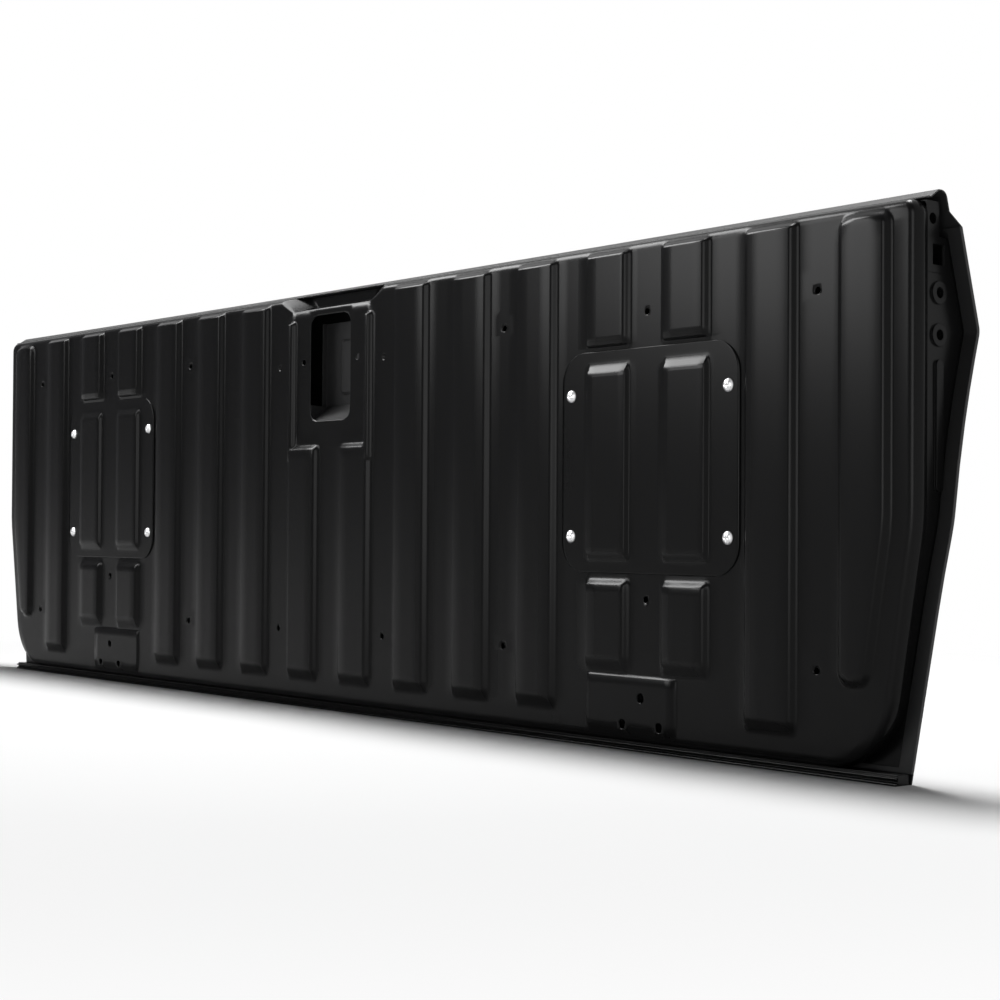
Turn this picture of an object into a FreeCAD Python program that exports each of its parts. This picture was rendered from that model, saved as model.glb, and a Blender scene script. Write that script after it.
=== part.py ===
import FreeCAD, Part
import math
import os

# Pickup truck tailgate: a hollow gate of pressed steel sheet.
# X runs along the gate, Y from the ribbed inner face to the outer skin, Z up.
# The origin is on the floor, at the middle of the gate's length and depth.

# Sheet and overall size
sheet = 1.0                  # thickness of the pressed sheets
gate_height = 436.0          # floor to the highest line of the outer skin
panel_top = gate_height - 7  # top of the inner panel
panel_bottom = 8.0           # lower edge of the inner panel
panel_half = 744.0           # half length of the inner panel
knee_height = gate_height * 0.44    # above this the ends are upright, below they lean in
end_lean = 0.16              # inward lean of the ends below the knee, run over rise
knee_radius = 150.0
corner_radius = 65.0         # lower corners of the inner panel
top_corner_radius = 12.0
panel_roll = 8.0             # bend round the inner panel's rim
panel_roll_inside = 5.0      # bevel behind the bend
return_depth = 13.0          # depth of the flange turned back round the inner panel

# Outer skin, as a section at the middle of the gate
skin_crown = 8.0             # how much nearer the skin's ends are than its middle
skin_foot = 28.0             # depth of the skin at the floor
skin_waist_z = 130.0
skin_waist = 33.0
crease_z = gate_height - 100 # body line
crease_y = 66.0
crease_radius = 14.0
shoulder_z = gate_height - 12
shoulder_y = 42.0
top_roll = 7.0               # roll of the skin over the top
top_land = 30.0              # depth where the top starts to slope forward
top_seat_back = 21.0         # depth where the slope meets the inner panel's top
hem_reach = 12.0             # how far the skin's hem stands out from the inner panel
hem_band = 12.0              # width of the folded hem
hem_top = gate_height - 27   # the hem stops here, below the notched top corner
top_half = panel_half + 3    # half length of the skin above the notch
notch_rise = 12.0

# Ribs of the inner panel: raised pads with narrow grooves between them
rib_pitch = panel_half / 8
rib_height = 5.5
rib_run = 8.0                # slope of a rib's side
rib_width = 58.0             # width of a rib at its foot
rib_corner = 5.0             # cut off each corner of a rib
rib_bottom = 27.0
rib_top = panel_top - panel_roll - sheet
ribs_each_side = 7
end_rib_inner = panel_half - 73     # the last rib is narrower and follows the leaning end
end_rib_outer = panel_half - 20
end_rib_bottom = 68.0
trim_hole_radius = 2.75
small_sides = 12             # small round holes and pins are drawn with this many sides
trim_hole_upper = gate_height - 67
trim_hole_lower = 80.0
trim_hole_near_handle = gate_height - 80
trim_hole_over_hinge = gate_height * 0.294

# Access covers
cover_centre = rib_pitch * 5 + 1
cover_half = 105.5
cover_bottom = gate_height * 0.342
cover_top = gate_height * 0.7775
cover_corner = 27.0
cover_pad_spread = 46.5
cover_pad_width = 58.0
cover_pad_height = 4.5
cover_pad_gap = 9.0          # from the cover's edge to its pads, below and above
cover_gap = 3.0              # between the cover and the ribs over and under it
access_half = 78.0
access_bottom = cover_bottom + 46
access_top = cover_top - 52
access_corner = 20.0
screw_spread = 93.5
screw_low = cover_bottom + 31
screw_high = cover_top - 37
screw_radius = 2.5
screw_length = 12.0
screw_head_radius = 5.5
screw_head_height = 3.4
screw_rim = 1.2              # upright edge of the domed head
screw_clearance = 0.4

# Hinge seats
hinge_centre = rib_pitch * 5 - 4
hinge_hole_radius = 4.0
hinge_hole_spread = 44.0
hinge_hole_low = 22.5
hinge_hole_high = 45.5
hinge_seat_left = 68.0       # raised seat, from the middle of the hinge's holes
hinge_seat_right = 41.0
hinge_seat_top = 64.0
hinge_seat_height = 2.0
hinge_seat_run = 1.5
hinge_plate_corner = 6.0
hinge_rib_bottom = 66.0      # the ribs over the hinge seats stop here
hinge_plate_thickness = 2.5
hinge_plate_margin = 3.0     # from the seat's edge to the plate behind it
nut_height = 6.5
nut_across_flats = 14.0
nut_bore_radius = 4.0

# Ends
latch_plate_thickness = 2.5
latch_plate_front = 17.0
latch_plate_back = 38.0
latch_plate_bottom = gate_height - 130
latch_plate_top = gate_height - 35
latch_plate_corner = 4.0
latch_hole_depth = 27.0      # distance of the latch holes behind the ribbed face
latch_hole_radius = 4.0
latch_hole_low = gate_height - 106
latch_hole_high = gate_height - 75
latch_boss_radius = 8.5
latch_boss_height = 1.6
latch_slot_z = gate_height - 47
latch_slot_height = 15.0
latch_slot_depth = 13.0
end_wall_top = gate_height - 34
seam_margin = 6.0            # the end wall's two pressings meet this far under the latch slot
end_bead_low = knee_height + 23
end_bead_high = gate_height - 124
end_bead_depth = 27.0
end_bead_width = 8.0
end_bead_height = 2.0
gusset_inner = panel_half - 89
gusset_top = 74.0

# Top corner brackets
bracket_length = 42.0
bracket_back = 28.0
bracket_hole_radius = 4.0

# Handle pocket
pocket_half = 36.0
pocket_bottom = gate_height - 139
pocket_top = gate_height - 30
pocket_corner = 12.0
surround_bottom = pocket_bottom - 23    # flat frame round the pocket
surround_top = pocket_top - 2
surround_rim = 14.0
surround_rim_run = 5.0
handle_hole_radius = 3.0
handle_hole_spread = 96.0
handle_hole_z = gate_height - 77
bracket_face = 23.0          # depth of the handle bracket behind the ribbed face
bracket_sheet = 1.5
bracket_left = -41.0
bracket_right = 58.0
bracket_foot = 18.0
bracket_lip = 5.0
bracket_bottom = pocket_bottom + 9
bracket_top = pocket_top - 6
bracket_pad_height = 2.0
bracket_pad_left = -12.0
bracket_pad_right = 34.0
bracket_pad_margin = 18.0
bracket_pad_run = 3.0
floor_rise = 17.0
floor_flange = 12.0

# Finger scoop in the top edge
scoop_half_top = 116.0
scoop_half_low = 71.0
scoop_low = gate_height - 23
scoop_depth = 19.0
scoop_back_half_top = 64.0
scoop_back_half_low = 48.0
scoop_back_low = gate_height - 18

# Outer handle recess in the skin
dish_half = 98.0
dish_bottom = gate_height - 148
dish_top = gate_height - 44
dish_corner = 12.0
dish_draft = 12.0
dish_floor = 50.0            # depth of the recess floor behind the ribbed face
dish_hole_half = 30.0
dish_hole_bottom = gate_height - 124
dish_hole_top = gate_height - 68
dish_hole_corner = 8.0
dish_bolt_radius = 3.3
dish_bolt_spread = 148.0

# Lower hem
lip_front = 3.0
lip_ridge = 2.5

hinge_plate_back = sheet - hinge_seat_height + hinge_plate_thickness
crown_radius = panel_half ** 2 / (2 * skin_crown)
front_reach = 60.0           # far enough in front of every piece for cutting
floor_margin = 20.0          # far enough under the floor for cutting

FORWARD = FreeCAD.Vector(0, -1, 0)
BACK = FreeCAD.Vector(0, 1, 0)
RIGHT = FreeCAD.Vector(1, 0, 0)
UP = FreeCAD.Vector(0, 0, 1)
nodes = {}


def xz(x, z, y=0.0):
    return FreeCAD.Vector(x, y, z)


def rounded_polygon(corners):
    """Closed wire in the XZ plane. Each corner is (x, z, radius)."""
    count = len(corners)
    starts = []
    ends = []
    for i, (x, z, radius) in enumerate(corners):
        here = xz(x, z)
        before = xz(*corners[i - 1][:2]).sub(here)
        after = xz(*corners[(i + 1) % count][:2]).sub(here)
        before.normalize()
        after.normalize()
        turn = before.getAngle(after)
        reach = radius / math.tan(turn / 2)
        starts.append(here.add(before * reach))
        ends.append(here.add(after * reach))
    edges = []
    for i, (x, z, radius) in enumerate(corners):
        if radius > 0:
            here = xz(x, z)
            inward = (starts[i].add(ends[i])) * 0.5 - here
            half_chord = starts[i].distanceToPoint(ends[i]) / 2
            sagitta = radius - math.sqrt(radius ** 2 - half_chord ** 2)
            toward = FreeCAD.Vector(inward)
            toward.normalize()
            middle = here.add(inward) - toward * sagitta
            edges.append(Part.Arc(starts[i], middle, ends[i]).toShape())
        next_start = starts[(i + 1) % count]
        if ends[i].distanceToPoint(next_start) > 1e-6:
            edges.append(Part.makeLine(ends[i], next_start))
    return Part.Wire(edges)


def rectangle(x0, x1, z0, z1, radius):
    return rounded_polygon([(x0, z0, radius), (x1, z0, radius), (x1, z1, radius), (x0, z1, radius)])


def cut_cornered(corners, y=0.0):
    """Points of an outline with each corner cut off straight. Each corner is (x, z, cut)."""
    points = []
    for i, (x, z, cut) in enumerate(corners):
        here = xz(x, z, y)
        for other in (corners[i - 1], corners[(i + 1) % len(corners)]):
            toward = xz(*other[:2], y).sub(here)
            toward.normalize()
            points.append(here.add(toward * cut))
    return points


def cut_rectangle(x0, x1, z0, z1, cut, y=0.0):
    return cut_cornered([(x0, z0, cut), (x1, z0, cut), (x1, z1, cut), (x0, z1, cut)], y)


def closed(points):
    return Part.makePolygon(points + points[:1])


def frustum(foot, crest):
    """Solid with flat sides between two outlines that have the same number of corners."""
    faces = [Part.Face(closed(foot)), Part.Face(closed(crest))]
    for i, corner in enumerate(foot):
        faces.append(Part.Face(closed([foot[i - 1], corner, crest[i], crest[i - 1]])))
    solid = Part.makeSolid(Part.makeShell(faces))
    if solid.Volume < 0:
        solid.reverse()
    return solid


def prism(wire, y0, y1):
    """Solid between two depths with the wire as its outline."""
    face = Part.Face(wire)
    face.translate(BACK * y0)
    return face.extrude(BACK * (y1 - y0))


def block(x0, x1, y0, y1, z0, z1):
    return Part.makeBox(x1 - x0, y1 - y0, z1 - z0, FreeCAD.Vector(x0, y0, z0))


def drill(radius, x, z, y0, y1):
    return Part.makeCylinder(radius, y1 - y0, xz(x, z, y0), BACK)


def many_sided(radius, sides, length, place, direction):
    """Prism along a direction, with flats at the radius."""
    reach = radius / math.cos(math.pi / sides)
    turns = [2 * math.pi * (i + 0.5) / sides for i in range(sides)]
    ring = [FreeCAD.Vector(reach * math.cos(turn), reach * math.sin(turn), 0) for turn in turns]
    solid = Part.Face(closed(ring)).extrude(UP * length)
    solid.Placement = FreeCAD.Placement(place, FreeCAD.Rotation(UP, direction))
    return solid


def ring_points(radius, x, z, y):
    """Corners of a many-sided ring with flats at the radius."""
    reach = radius / math.cos(math.pi / small_sides)
    turns = [2 * math.pi * (i + 0.5) / small_sides for i in range(small_sides)]
    return [xz(x + reach * math.cos(turn), z + reach * math.sin(turn), y) for turn in turns]


def small_hole(radius, x, z, y0, y1):
    """Plain stand-in for a small round hole or pin."""
    return prism(closed(ring_points(radius, x, z, 0)), y0, y1)


def mirrored(shape):
    return shape.mirror(FreeCAD.Vector(0, 0, 0), FreeCAD.Vector(1, 0, 0))


def both_sides(shape):
    return [shape, mirrored(shape)]


def fuse_all(shapes):
    return shapes[0].multiFuse(shapes[1:]) if len(shapes) > 1 else shapes[0]


def raised_pad(x0, x1, z0, z1, height, run, cut):
    """Pad with sloped sides, its foot on the panel's face and its top in front of it."""
    foot = cut_rectangle(x0, x1, z0, z1, cut)
    crest = cut_rectangle(x0 + run, x1 - run, z0 + run, z1 - run, cut / 2, -height)
    return frustum(foot, crest).fuse(prism(closed(foot), 0, sheet / 2))


def panel_outline(inset):
    """Front outline of the inner panel, drawn in by the inset."""
    foot_half = panel_half - end_lean * (knee_height - panel_bottom)
    corners = []
    for side in (1, -1):
        half = [(side * foot_half, panel_bottom, corner_radius),
                (side * panel_half, knee_height, knee_radius),
                (side * panel_half, panel_top, top_corner_radius)]
        corners += half if side == 1 else half[::-1]
    wire = rounded_polygon(corners)
    if inset:
        wire = Part.Face(wire).makeOffset2D(-inset).OuterWire
    return wire


def skin_outline(inset):
    """Front outline of the outer skin, with its notched top corners, drawn in by the inset."""
    hem_half = panel_half + hem_reach
    foot_half = hem_half - end_lean * knee_height
    right = [(foot_half, 0, 0), (hem_half, knee_height, knee_radius), (hem_half, hem_top, 0),
             (top_half, hem_top + notch_rise, 0), (top_half, gate_height + 1, 0)]
    corners = right + [(-x, z, radius) for x, z, radius in right[::-1]]
    wire = rounded_polygon(corners)
    if inset:
        wire = Part.Face(wire).makeOffset2D(-inset, 2).OuterWire
    return wire


def front_rim(solid, y0):
    return [edge for edge in solid.Edges
            if abs(edge.BoundBox.YMin - y0) < 1e-6 and abs(edge.BoundBox.YMax - y0) < 1e-6]


def rim_filleted(wire, y0, y1, radius):
    """Prism with a rolled front rim."""
    solid = prism(wire, y0, y1)
    return solid.makeFillet(radius, front_rim(solid, y0))


def rim_chamfered(wire, y0, y1, size):
    """Prism with a bevelled front rim, for the hidden side of a roll."""
    solid = prism(wire, y0, y1)
    return solid.makeChamfer(size, front_rim(solid, y0))


def arc_between(start, tangent, end):
    """Arc in the YZ plane that leaves start along tangent and reaches end."""
    chord = end.sub(start)
    normal = FreeCAD.Vector(0, -tangent.z, tangent.y)
    radius = chord.dot(chord) / (2 * chord.dot(normal))
    centre = start.add(normal * radius)
    middle = (start.add(end)) * 0.5 - centre
    middle.normalize()
    middle = centre.add(middle * abs(radius))
    leave = end.sub(centre)
    end_tangent = FreeCAD.Vector(0, -leave.z, leave.y) * (-1 if radius < 0 else 1)
    end_tangent.normalize()
    return Part.Arc(start, middle, end).toShape(), end_tangent


def bend(before, corner, after, radius):
    """Tangent points and arc that round a corner between two lines."""
    back = before.sub(corner)
    ahead = after.sub(corner)
    back.normalize()
    ahead.normalize()
    half = back.getAngle(ahead) / 2
    reach = radius / math.tan(half)
    start = corner.add(back * reach)
    end = corner.add(ahead * reach)
    bisector = back.add(ahead)
    bisector.normalize()
    middle = corner.add(bisector * (radius / math.sin(half) - radius))
    return start, Part.Arc(start, middle, end).toShape(), end


def skin_section(inset):
    """Region in front of the skin, at the middle of the gate, down to the floor."""
    def yz(y, z):
        return FreeCAD.Vector(0, y, z)

    foot = yz(skin_foot, 0)
    under = yz(skin_foot, -floor_margin)
    waist = yz(skin_waist, skin_waist_z)
    rise = waist.sub(foot)
    rise.normalize()
    sweep, tangent = arc_between(waist, rise, yz(crease_y - 4, crease_z - 22))
    crease_from = sweep.Vertexes[-1].Point
    upper = yz(shoulder_y, shoulder_z)
    crease = yz(crease_from.y + tangent.y / tangent.z * 20, crease_from.z + 20)
    start, crease_arc, end = bend(crease_from, crease, upper, crease_radius)
    lean = upper.sub(crease)
    lean.normalize()
    peak = upper.add(lean * ((gate_height - shoulder_z) / lean.z))
    roll_start, roll, roll_end = bend(upper, peak, yz(0, gate_height), top_roll)
    slope_top = yz(top_land, gate_height)
    slope_foot = yz(top_seat_back, panel_top + sheet)
    front = yz(-front_reach, panel_top + sheet)
    front_foot = yz(-front_reach, -floor_margin)
    edges = [Part.makeLine(under, foot), Part.makeLine(foot, waist), sweep]
    if crease_from.distanceToPoint(start) > 1e-6:
        edges.append(Part.makeLine(crease_from, start))
    edges += [crease_arc, Part.makeLine(end, roll_start), roll,
              Part.makeLine(roll_end, slope_top), Part.makeLine(slope_top, slope_foot),
              Part.makeLine(slope_foot, front), Part.makeLine(front, front_foot),
              Part.makeLine(front_foot, under)]
    face = Part.Face(Part.Wire(edges))
    if inset:
        face = face.makeOffset2D(-inset, 2)
    return face


def behind_skin(inset):
    """Crowned solid in front of the skin's outer surface, drawn in by the inset."""
    face = skin_section(inset)
    half_turn = math.degrees(1.05 * panel_half / crown_radius)
    axis_point = FreeCAD.Vector(0, -crown_radius, 0)
    face.rotate(axis_point, UP, -half_turn)
    return face.revolve(axis_point, UP, 2 * half_turn)


def recess(outlines, depths):
    """Tapered hollow lofted between rounded outlines at their depths."""
    wires = []
    for wire, depth in zip(outlines, depths):
        wire.translate(BACK * depth)
        wires.append(wire)
    return Part.makeLoft(wires, True, True)


def scoop_hollow():
    """Finger scoop: a trapezoid in the face that narrows to a smaller one behind."""
    def trapezoid(half_top, half_low, low, radius):
        top = gate_height
        return rounded_polygon([(-half_low, low, radius), (half_low, low, radius),
                                (half_top, top, 0), (-half_top, top, 0)])

    outer = trapezoid(scoop_half_top, scoop_half_low, scoop_low, 8)
    inner = trapezoid(scoop_back_half_top, scoop_back_half_low, scoop_back_low, 6)
    return recess([outer, inner], [0, scoop_depth])


def rib_columns():
    """Raised pads of one half of the panel, between the grooves."""
    pads = []
    for i in range(ribs_each_side):
        middle = rib_pitch * (i + 0.5)
        x0 = middle - rib_width / 2
        x1 = middle + rib_width / 2
        over_cover = abs(middle - cover_centre) < cover_half
        spans = [(rib_bottom, rib_top)]
        if i == 0:
            spans = [(rib_bottom, surround_bottom)]
        if over_cover:
            spans = [(hinge_rib_bottom, cover_bottom - cover_gap), (cover_top + cover_gap, rib_top)]
        for z0, z1 in spans:
            pads.append(raised_pad(x0, x1, z0, z1, rib_height, rib_run, rib_corner))
    pads.append(end_rib())
    pads.append(raised_pad(hinge_centre - hinge_seat_left, hinge_centre + hinge_seat_right,
                           panel_bottom + panel_roll, hinge_seat_top, hinge_seat_height,
                           hinge_seat_run, hinge_seat_run))
    rim_outer = rib_pitch / 2 + rib_width / 2
    pads.append(raised_pad(rim_outer - surround_rim, rim_outer, surround_bottom - rib_run - surround_rim,
                           surround_top, rib_height, surround_rim_run, surround_rim_run / 2))
    return pads


def end_rib():
    """Last rib: upright inside, leaning with the end of the gate outside."""
    lean = end_lean * (knee_height - end_rib_bottom)

    def outline(step, cut, y):
        return cut_cornered([
            (end_rib_inner + step, end_rib_bottom + step, 2 * cut),
            (end_rib_outer - lean - step, end_rib_bottom + step, cut / 2),
            (end_rib_outer - step, knee_height, cut),
            (end_rib_outer - step, rib_top - step, cut),
            (end_rib_inner + step, rib_top - step, cut)], y)

    foot = outline(0, rib_corner, 0)
    crest = outline(rib_run, rib_corner / 2, -rib_height)
    sides = Part.makeLoft([closed(foot), closed(crest)], True, True)
    return sides.fuse(prism(closed(foot), 0, sheet / 2))


def trim_holes():
    """Small round holes in every other groove: (x, z) of one half."""
    places = []
    for k in (1, 3, 5, 7):
        upper = trim_hole_near_handle if k == 1 else trim_hole_upper
        lower = trim_hole_over_hinge if k == 5 else trim_hole_lower
        places += [(k * rib_pitch, upper), (k * rib_pitch, lower)]
    return places


def hinge_holes():
    return [(hinge_centre - hinge_hole_spread / 2, hinge_hole_low),
            (hinge_centre + hinge_hole_spread / 2, hinge_hole_low),
            (hinge_centre, hinge_hole_high)]


def screw_places():
    return [(cover_centre + side * screw_spread, z) for side in (-1, 1) for z in (screw_low, screw_high)]


def make_inner_panel():
    shell = rim_filleted(panel_outline(0), 0, return_depth, panel_roll)
    hollow = rim_chamfered(panel_outline(sheet), sheet, return_depth + 1, panel_roll_inside)
    pads = []
    for pad in rib_columns():
        pads += both_sides(pad)
    pad_hollows = []
    for pad in pads:
        hollowed = pad.copy()
        hollowed.translate(BACK * sheet)
        pad_hollows.append(hollowed)
    scoop = scoop_hollow()
    scoop_back = scoop.copy()
    scoop_back.translate(BACK * sheet)
    keep_scoop = block(-panel_half, panel_half, 0, scoop_depth + sheet, 0, panel_top)
    panel = shell.multiFuse(pads).cut(hollow.multiFuse(pad_hollows))
    panel = panel.fuse(scoop_back.common(keep_scoop)).cut(scoop)
    holes = [prism(rectangle(-pocket_half, pocket_half, pocket_bottom, pocket_top, pocket_corner),
                   -front_reach, scoop_depth)]
    for side in (1, -1):
        for x, z in trim_holes():
            holes.append(small_hole(trim_hole_radius, side * x, z, -front_reach, return_depth))
        for x, z in hinge_holes():
            holes.append(drill(hinge_hole_radius, side * x, z, -front_reach, return_depth))
        for x, z in screw_places():
            holes.append(small_hole(screw_radius + screw_clearance, side * x, z, -front_reach, return_depth))
        handle_x = side * handle_hole_spread / 2
        holes.append(drill(handle_hole_radius, handle_x, handle_hole_z, -front_reach, return_depth))
        access = cut_rectangle(side * cover_centre - access_half, side * cover_centre + access_half,
                               access_bottom, access_top, access_corner)
        holes.append(prism(closed(access), -front_reach, return_depth))
    return panel.cut(fuse_all(holes))


def hem_ring(outer_inset, inner_inset):
    """Upright band round both ends of the skin's outline, below the notched corners."""
    band = prism(skin_outline(outer_inset), 0, 2 * crease_y)
    band = band.cut(prism(skin_outline(inner_inset), -1, 2 * crease_y + 1))
    ends = fuse_all(both_sides(block(gusset_inner, panel_half + 2 * hem_reach, 0, 2 * crease_y,
                                     panel_bottom, hem_top)))
    return band.common(ends)


def make_outer_skin():
    """Crowned skin with its top return, the hems folded round both ends and the handle recess."""
    hem_face = behind_skin(3 * sheet)
    folded_back = hem_ring(0, hem_band).common(behind_skin(2 * sheet)).cut(hem_face)
    fold = hem_ring(0, sheet).cut(hem_face)
    recess_out = dish()
    recess_in = recess_out.copy()
    recess_in.translate(FORWARD * sheet)
    hollow = behind_skin(sheet).cut(recess_in).cut(fold).cut(folded_back)
    body = behind_skin(0).cut(recess_out).common(prism(skin_outline(0), 0, 2 * crease_y))
    in_front = block(-panel_half - hem_reach, panel_half + hem_reach, -front_reach,
                     panel_roll + 2, panel_top - 1, gate_height + 1)
    skin = body.cut(hollow).cut(in_front)
    aperture = rectangle(-dish_hole_half, dish_hole_half, dish_hole_bottom, dish_hole_top,
                         dish_hole_corner)
    cuts = [prism(aperture, dish_floor - 2 * sheet, 2 * crease_y)]
    for side in (-1, 1):
        cuts.append(drill(dish_bolt_radius, side * dish_bolt_spread / 2, (dish_bottom + dish_top) / 2,
                          dish_floor - 2 * sheet, 2 * crease_y))
    return skin.cut(fuse_all(cuts))


def dish():
    """Hollow of the outer handle recess, open at the back."""
    floor = cut_rectangle(-dish_half + dish_draft, dish_half - dish_draft, dish_bottom + dish_draft,
                          dish_top - dish_draft, dish_corner / 2, dish_floor)
    mouth = cut_rectangle(-dish_half, dish_half, dish_bottom, dish_top, dish_corner,
                          crease_y + 4 * sheet)
    return frustum(floor, mouth)


def make_end_wall():
    """Right end wall: follows the inner panel's rim and turns out into a flange under the hem."""
    wall_ring = prism(panel_outline(sheet), panel_roll, 2 * crease_y)
    wall_ring = wall_ring.cut(prism(panel_outline(2 * sheet), panel_roll - 1, 2 * crease_y + 1))
    inside = behind_skin(sheet)
    flange_face = behind_skin(2 * sheet)
    reach = block(gusset_inner, panel_half + 2 * hem_reach, 0, 2 * crease_y, 0, end_wall_top)
    wall = wall_ring.common(inside)
    flange = prism(skin_outline(sheet), 0, 2 * crease_y)
    flange = flange.cut(prism(panel_outline(sheet), -1, 2 * crease_y + 1))
    flange = flange.common(inside.cut(flange_face))
    above_floor = block(gusset_inner, panel_half + 2 * hem_reach, 0, 2 * crease_y,
                        panel_bottom + sheet, end_wall_top)
    wall = wall.fuse(flange.common(above_floor)).common(reach)
    face_x = panel_half - sheet
    cuts = [block(face_x - 2 * sheet, face_x + sheet, latch_hole_depth - latch_slot_depth / 2,
                  latch_hole_depth + latch_slot_depth / 2,
                  latch_slot_z - latch_slot_height / 2, latch_slot_z + latch_slot_height / 2)]
    additions = []
    for z in (latch_hole_low, latch_hole_high):
        middle = FreeCAD.Vector(face_x, latch_hole_depth, z)
        additions.append(many_sided(latch_boss_radius, 2 * small_sides, latch_boss_height, middle, RIGHT))
        cuts.append(Part.makeCylinder(latch_hole_radius, 8 * sheet,
                                      middle - FreeCAD.Vector(4 * sheet, 0, 0), FreeCAD.Vector(1, 0, 0)))
    additions.append(end_bead(face_x))
    wall = wall.multiFuse(additions).cut(fuse_all(cuts))
    seam = latch_slot_z - latch_slot_height / 2 - seam_margin
    below = block(gusset_inner, panel_half + 2 * hem_reach, 0, 2 * crease_y, 0, seam)
    return [wall.common(below), wall.cut(below)]


def end_bead(face_x):
    """Upright stiffening bead pressed out of the end wall."""
    half = end_bead_width / 2
    low = end_bead_low + half
    high = end_bead_high - half
    outline = [FreeCAD.Vector(face_x, end_bead_depth - half, low),
               FreeCAD.Vector(face_x, end_bead_depth + half, low),
               FreeCAD.Vector(face_x, end_bead_depth + half, high),
               FreeCAD.Vector(face_x, end_bead_depth - half, high)]
    edges = [Part.Arc(outline[0], FreeCAD.Vector(face_x, end_bead_depth, end_bead_low), outline[1]).toShape(),
             Part.makeLine(outline[1], outline[2]),
             Part.Arc(outline[2], FreeCAD.Vector(face_x, end_bead_depth, end_bead_high), outline[3]).toShape(),
             Part.makeLine(outline[3], outline[0])]
    return Part.Face(Part.Wire(edges)).extrude(FreeCAD.Vector(end_bead_height, 0, 0))


def make_corner_gusset():
    """Three-cornered flange between the panel's rounded lower corner and the hem."""
    band = behind_skin(2 * sheet).cut(behind_skin(3 * sheet))
    region = prism(skin_outline(hem_band), 0, 2 * crease_y)
    region = region.cut(prism(panel_outline(sheet), -1, 2 * crease_y + 1))
    limits = block(gusset_inner, panel_half + hem_reach, 0, 2 * crease_y,
                   max(hem_band, panel_bottom), gusset_top)
    return band.common(region).common(limits)


def make_latch_plate():
    x1 = panel_half - 2 * sheet
    plate = block(x1 - latch_plate_thickness, x1, latch_plate_front, latch_plate_back,
                  latch_plate_bottom, latch_plate_top)
    rims = [edge for edge in plate.Edges
            if edge.BoundBox.XLength > latch_plate_thickness / 2]
    plate = plate.makeChamfer(latch_plate_corner, rims)
    cuts = [block(x1 - 2 * latch_plate_thickness, x1 + 1, latch_hole_depth - latch_slot_depth / 2,
                  latch_hole_depth + latch_slot_depth / 2,
                  latch_slot_z - latch_slot_height / 2, latch_slot_z + latch_slot_height / 2)]
    for z in (latch_hole_low, latch_hole_high):
        middle = FreeCAD.Vector(x1 - 2 * latch_plate_thickness, latch_hole_depth, z)
        cuts.append(many_sided(latch_hole_radius, small_sides, 4 * latch_plate_thickness, middle, RIGHT))
    return plate.cut(fuse_all(cuts))


def hex_nut(place, direction):
    """Weld nut: a hexagon with a plain bore."""
    body = many_sided(nut_across_flats / 2, 6, nut_height, place, direction)
    return body.cut(many_sided(nut_bore_radius, small_sides, nut_height, place, direction))


def make_latch_nuts():
    x = panel_half - 2 * sheet - latch_plate_thickness
    return [hex_nut(FreeCAD.Vector(x, latch_hole_depth, z), FreeCAD.Vector(-1, 0, 0))
            for z in (latch_hole_low, latch_hole_high)]


def make_hinge_plate():
    """Reinforcing plate in the hollow of the hinge seat."""
    outline = cut_rectangle(hinge_centre - hinge_seat_left + hinge_plate_margin,
                            hinge_centre + hinge_seat_right - hinge_plate_margin,
                            panel_bottom + panel_roll + hinge_seat_run,
                            hinge_seat_top - hinge_plate_margin, hinge_plate_corner)
    plate = prism(closed(outline), sheet - hinge_seat_height, hinge_plate_back)
    holes = [small_hole(hinge_hole_radius, x, z, -front_reach, front_reach) for x, z in hinge_holes()[:2]]
    holes += [drill(hinge_hole_radius, x, z, -front_reach, front_reach) for x, z in hinge_holes()[2:]]
    return plate.cut(fuse_all(holes))


def make_hinge_nuts():
    return [hex_nut(xz(x, z, hinge_plate_back), BACK) for x, z in hinge_holes()]


def make_access_cover():
    x0 = cover_centre - cover_half
    x1 = cover_centre + cover_half
    plate = prism(rectangle(x0, x1, cover_bottom, cover_top, cover_corner), -sheet, 0)
    pads = []
    for side in (-1, 1):
        middle = cover_centre + side * cover_pad_spread
        pads.append(raised_pad(middle - cover_pad_width / 2, middle + cover_pad_width / 2,
                               cover_bottom + cover_pad_gap, cover_top - cover_pad_gap,
                               cover_pad_height, rib_run, rib_corner))
    hollows = [pad.copy() for pad in pads]
    for pad in pads:
        pad.translate(FORWARD * sheet)
    cuts = [small_hole(screw_radius + screw_clearance, x, z, -front_reach, front_reach)
            for x, z in screw_places()]
    return plate.multiFuse(pads).cut(fuse_all(hollows + cuts))


def make_cover_screws():
    screws = []
    for x, z in screw_places():
        shank = small_hole(screw_radius, x, z, -sheet, -sheet + screw_length)
        rim = -sheet - screw_rim
        flange = small_hole(screw_head_radius, x, z, rim, -sheet)
        foot = ring_points(screw_head_radius, x, z, rim)
        crown = ring_points(screw_head_radius / 2, x, z, -sheet - screw_head_height)
        dome = frustum(foot, crown)
        screws.append(shank.multiFuse([flange, dome]).removeSplitter())
    return screws


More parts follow.
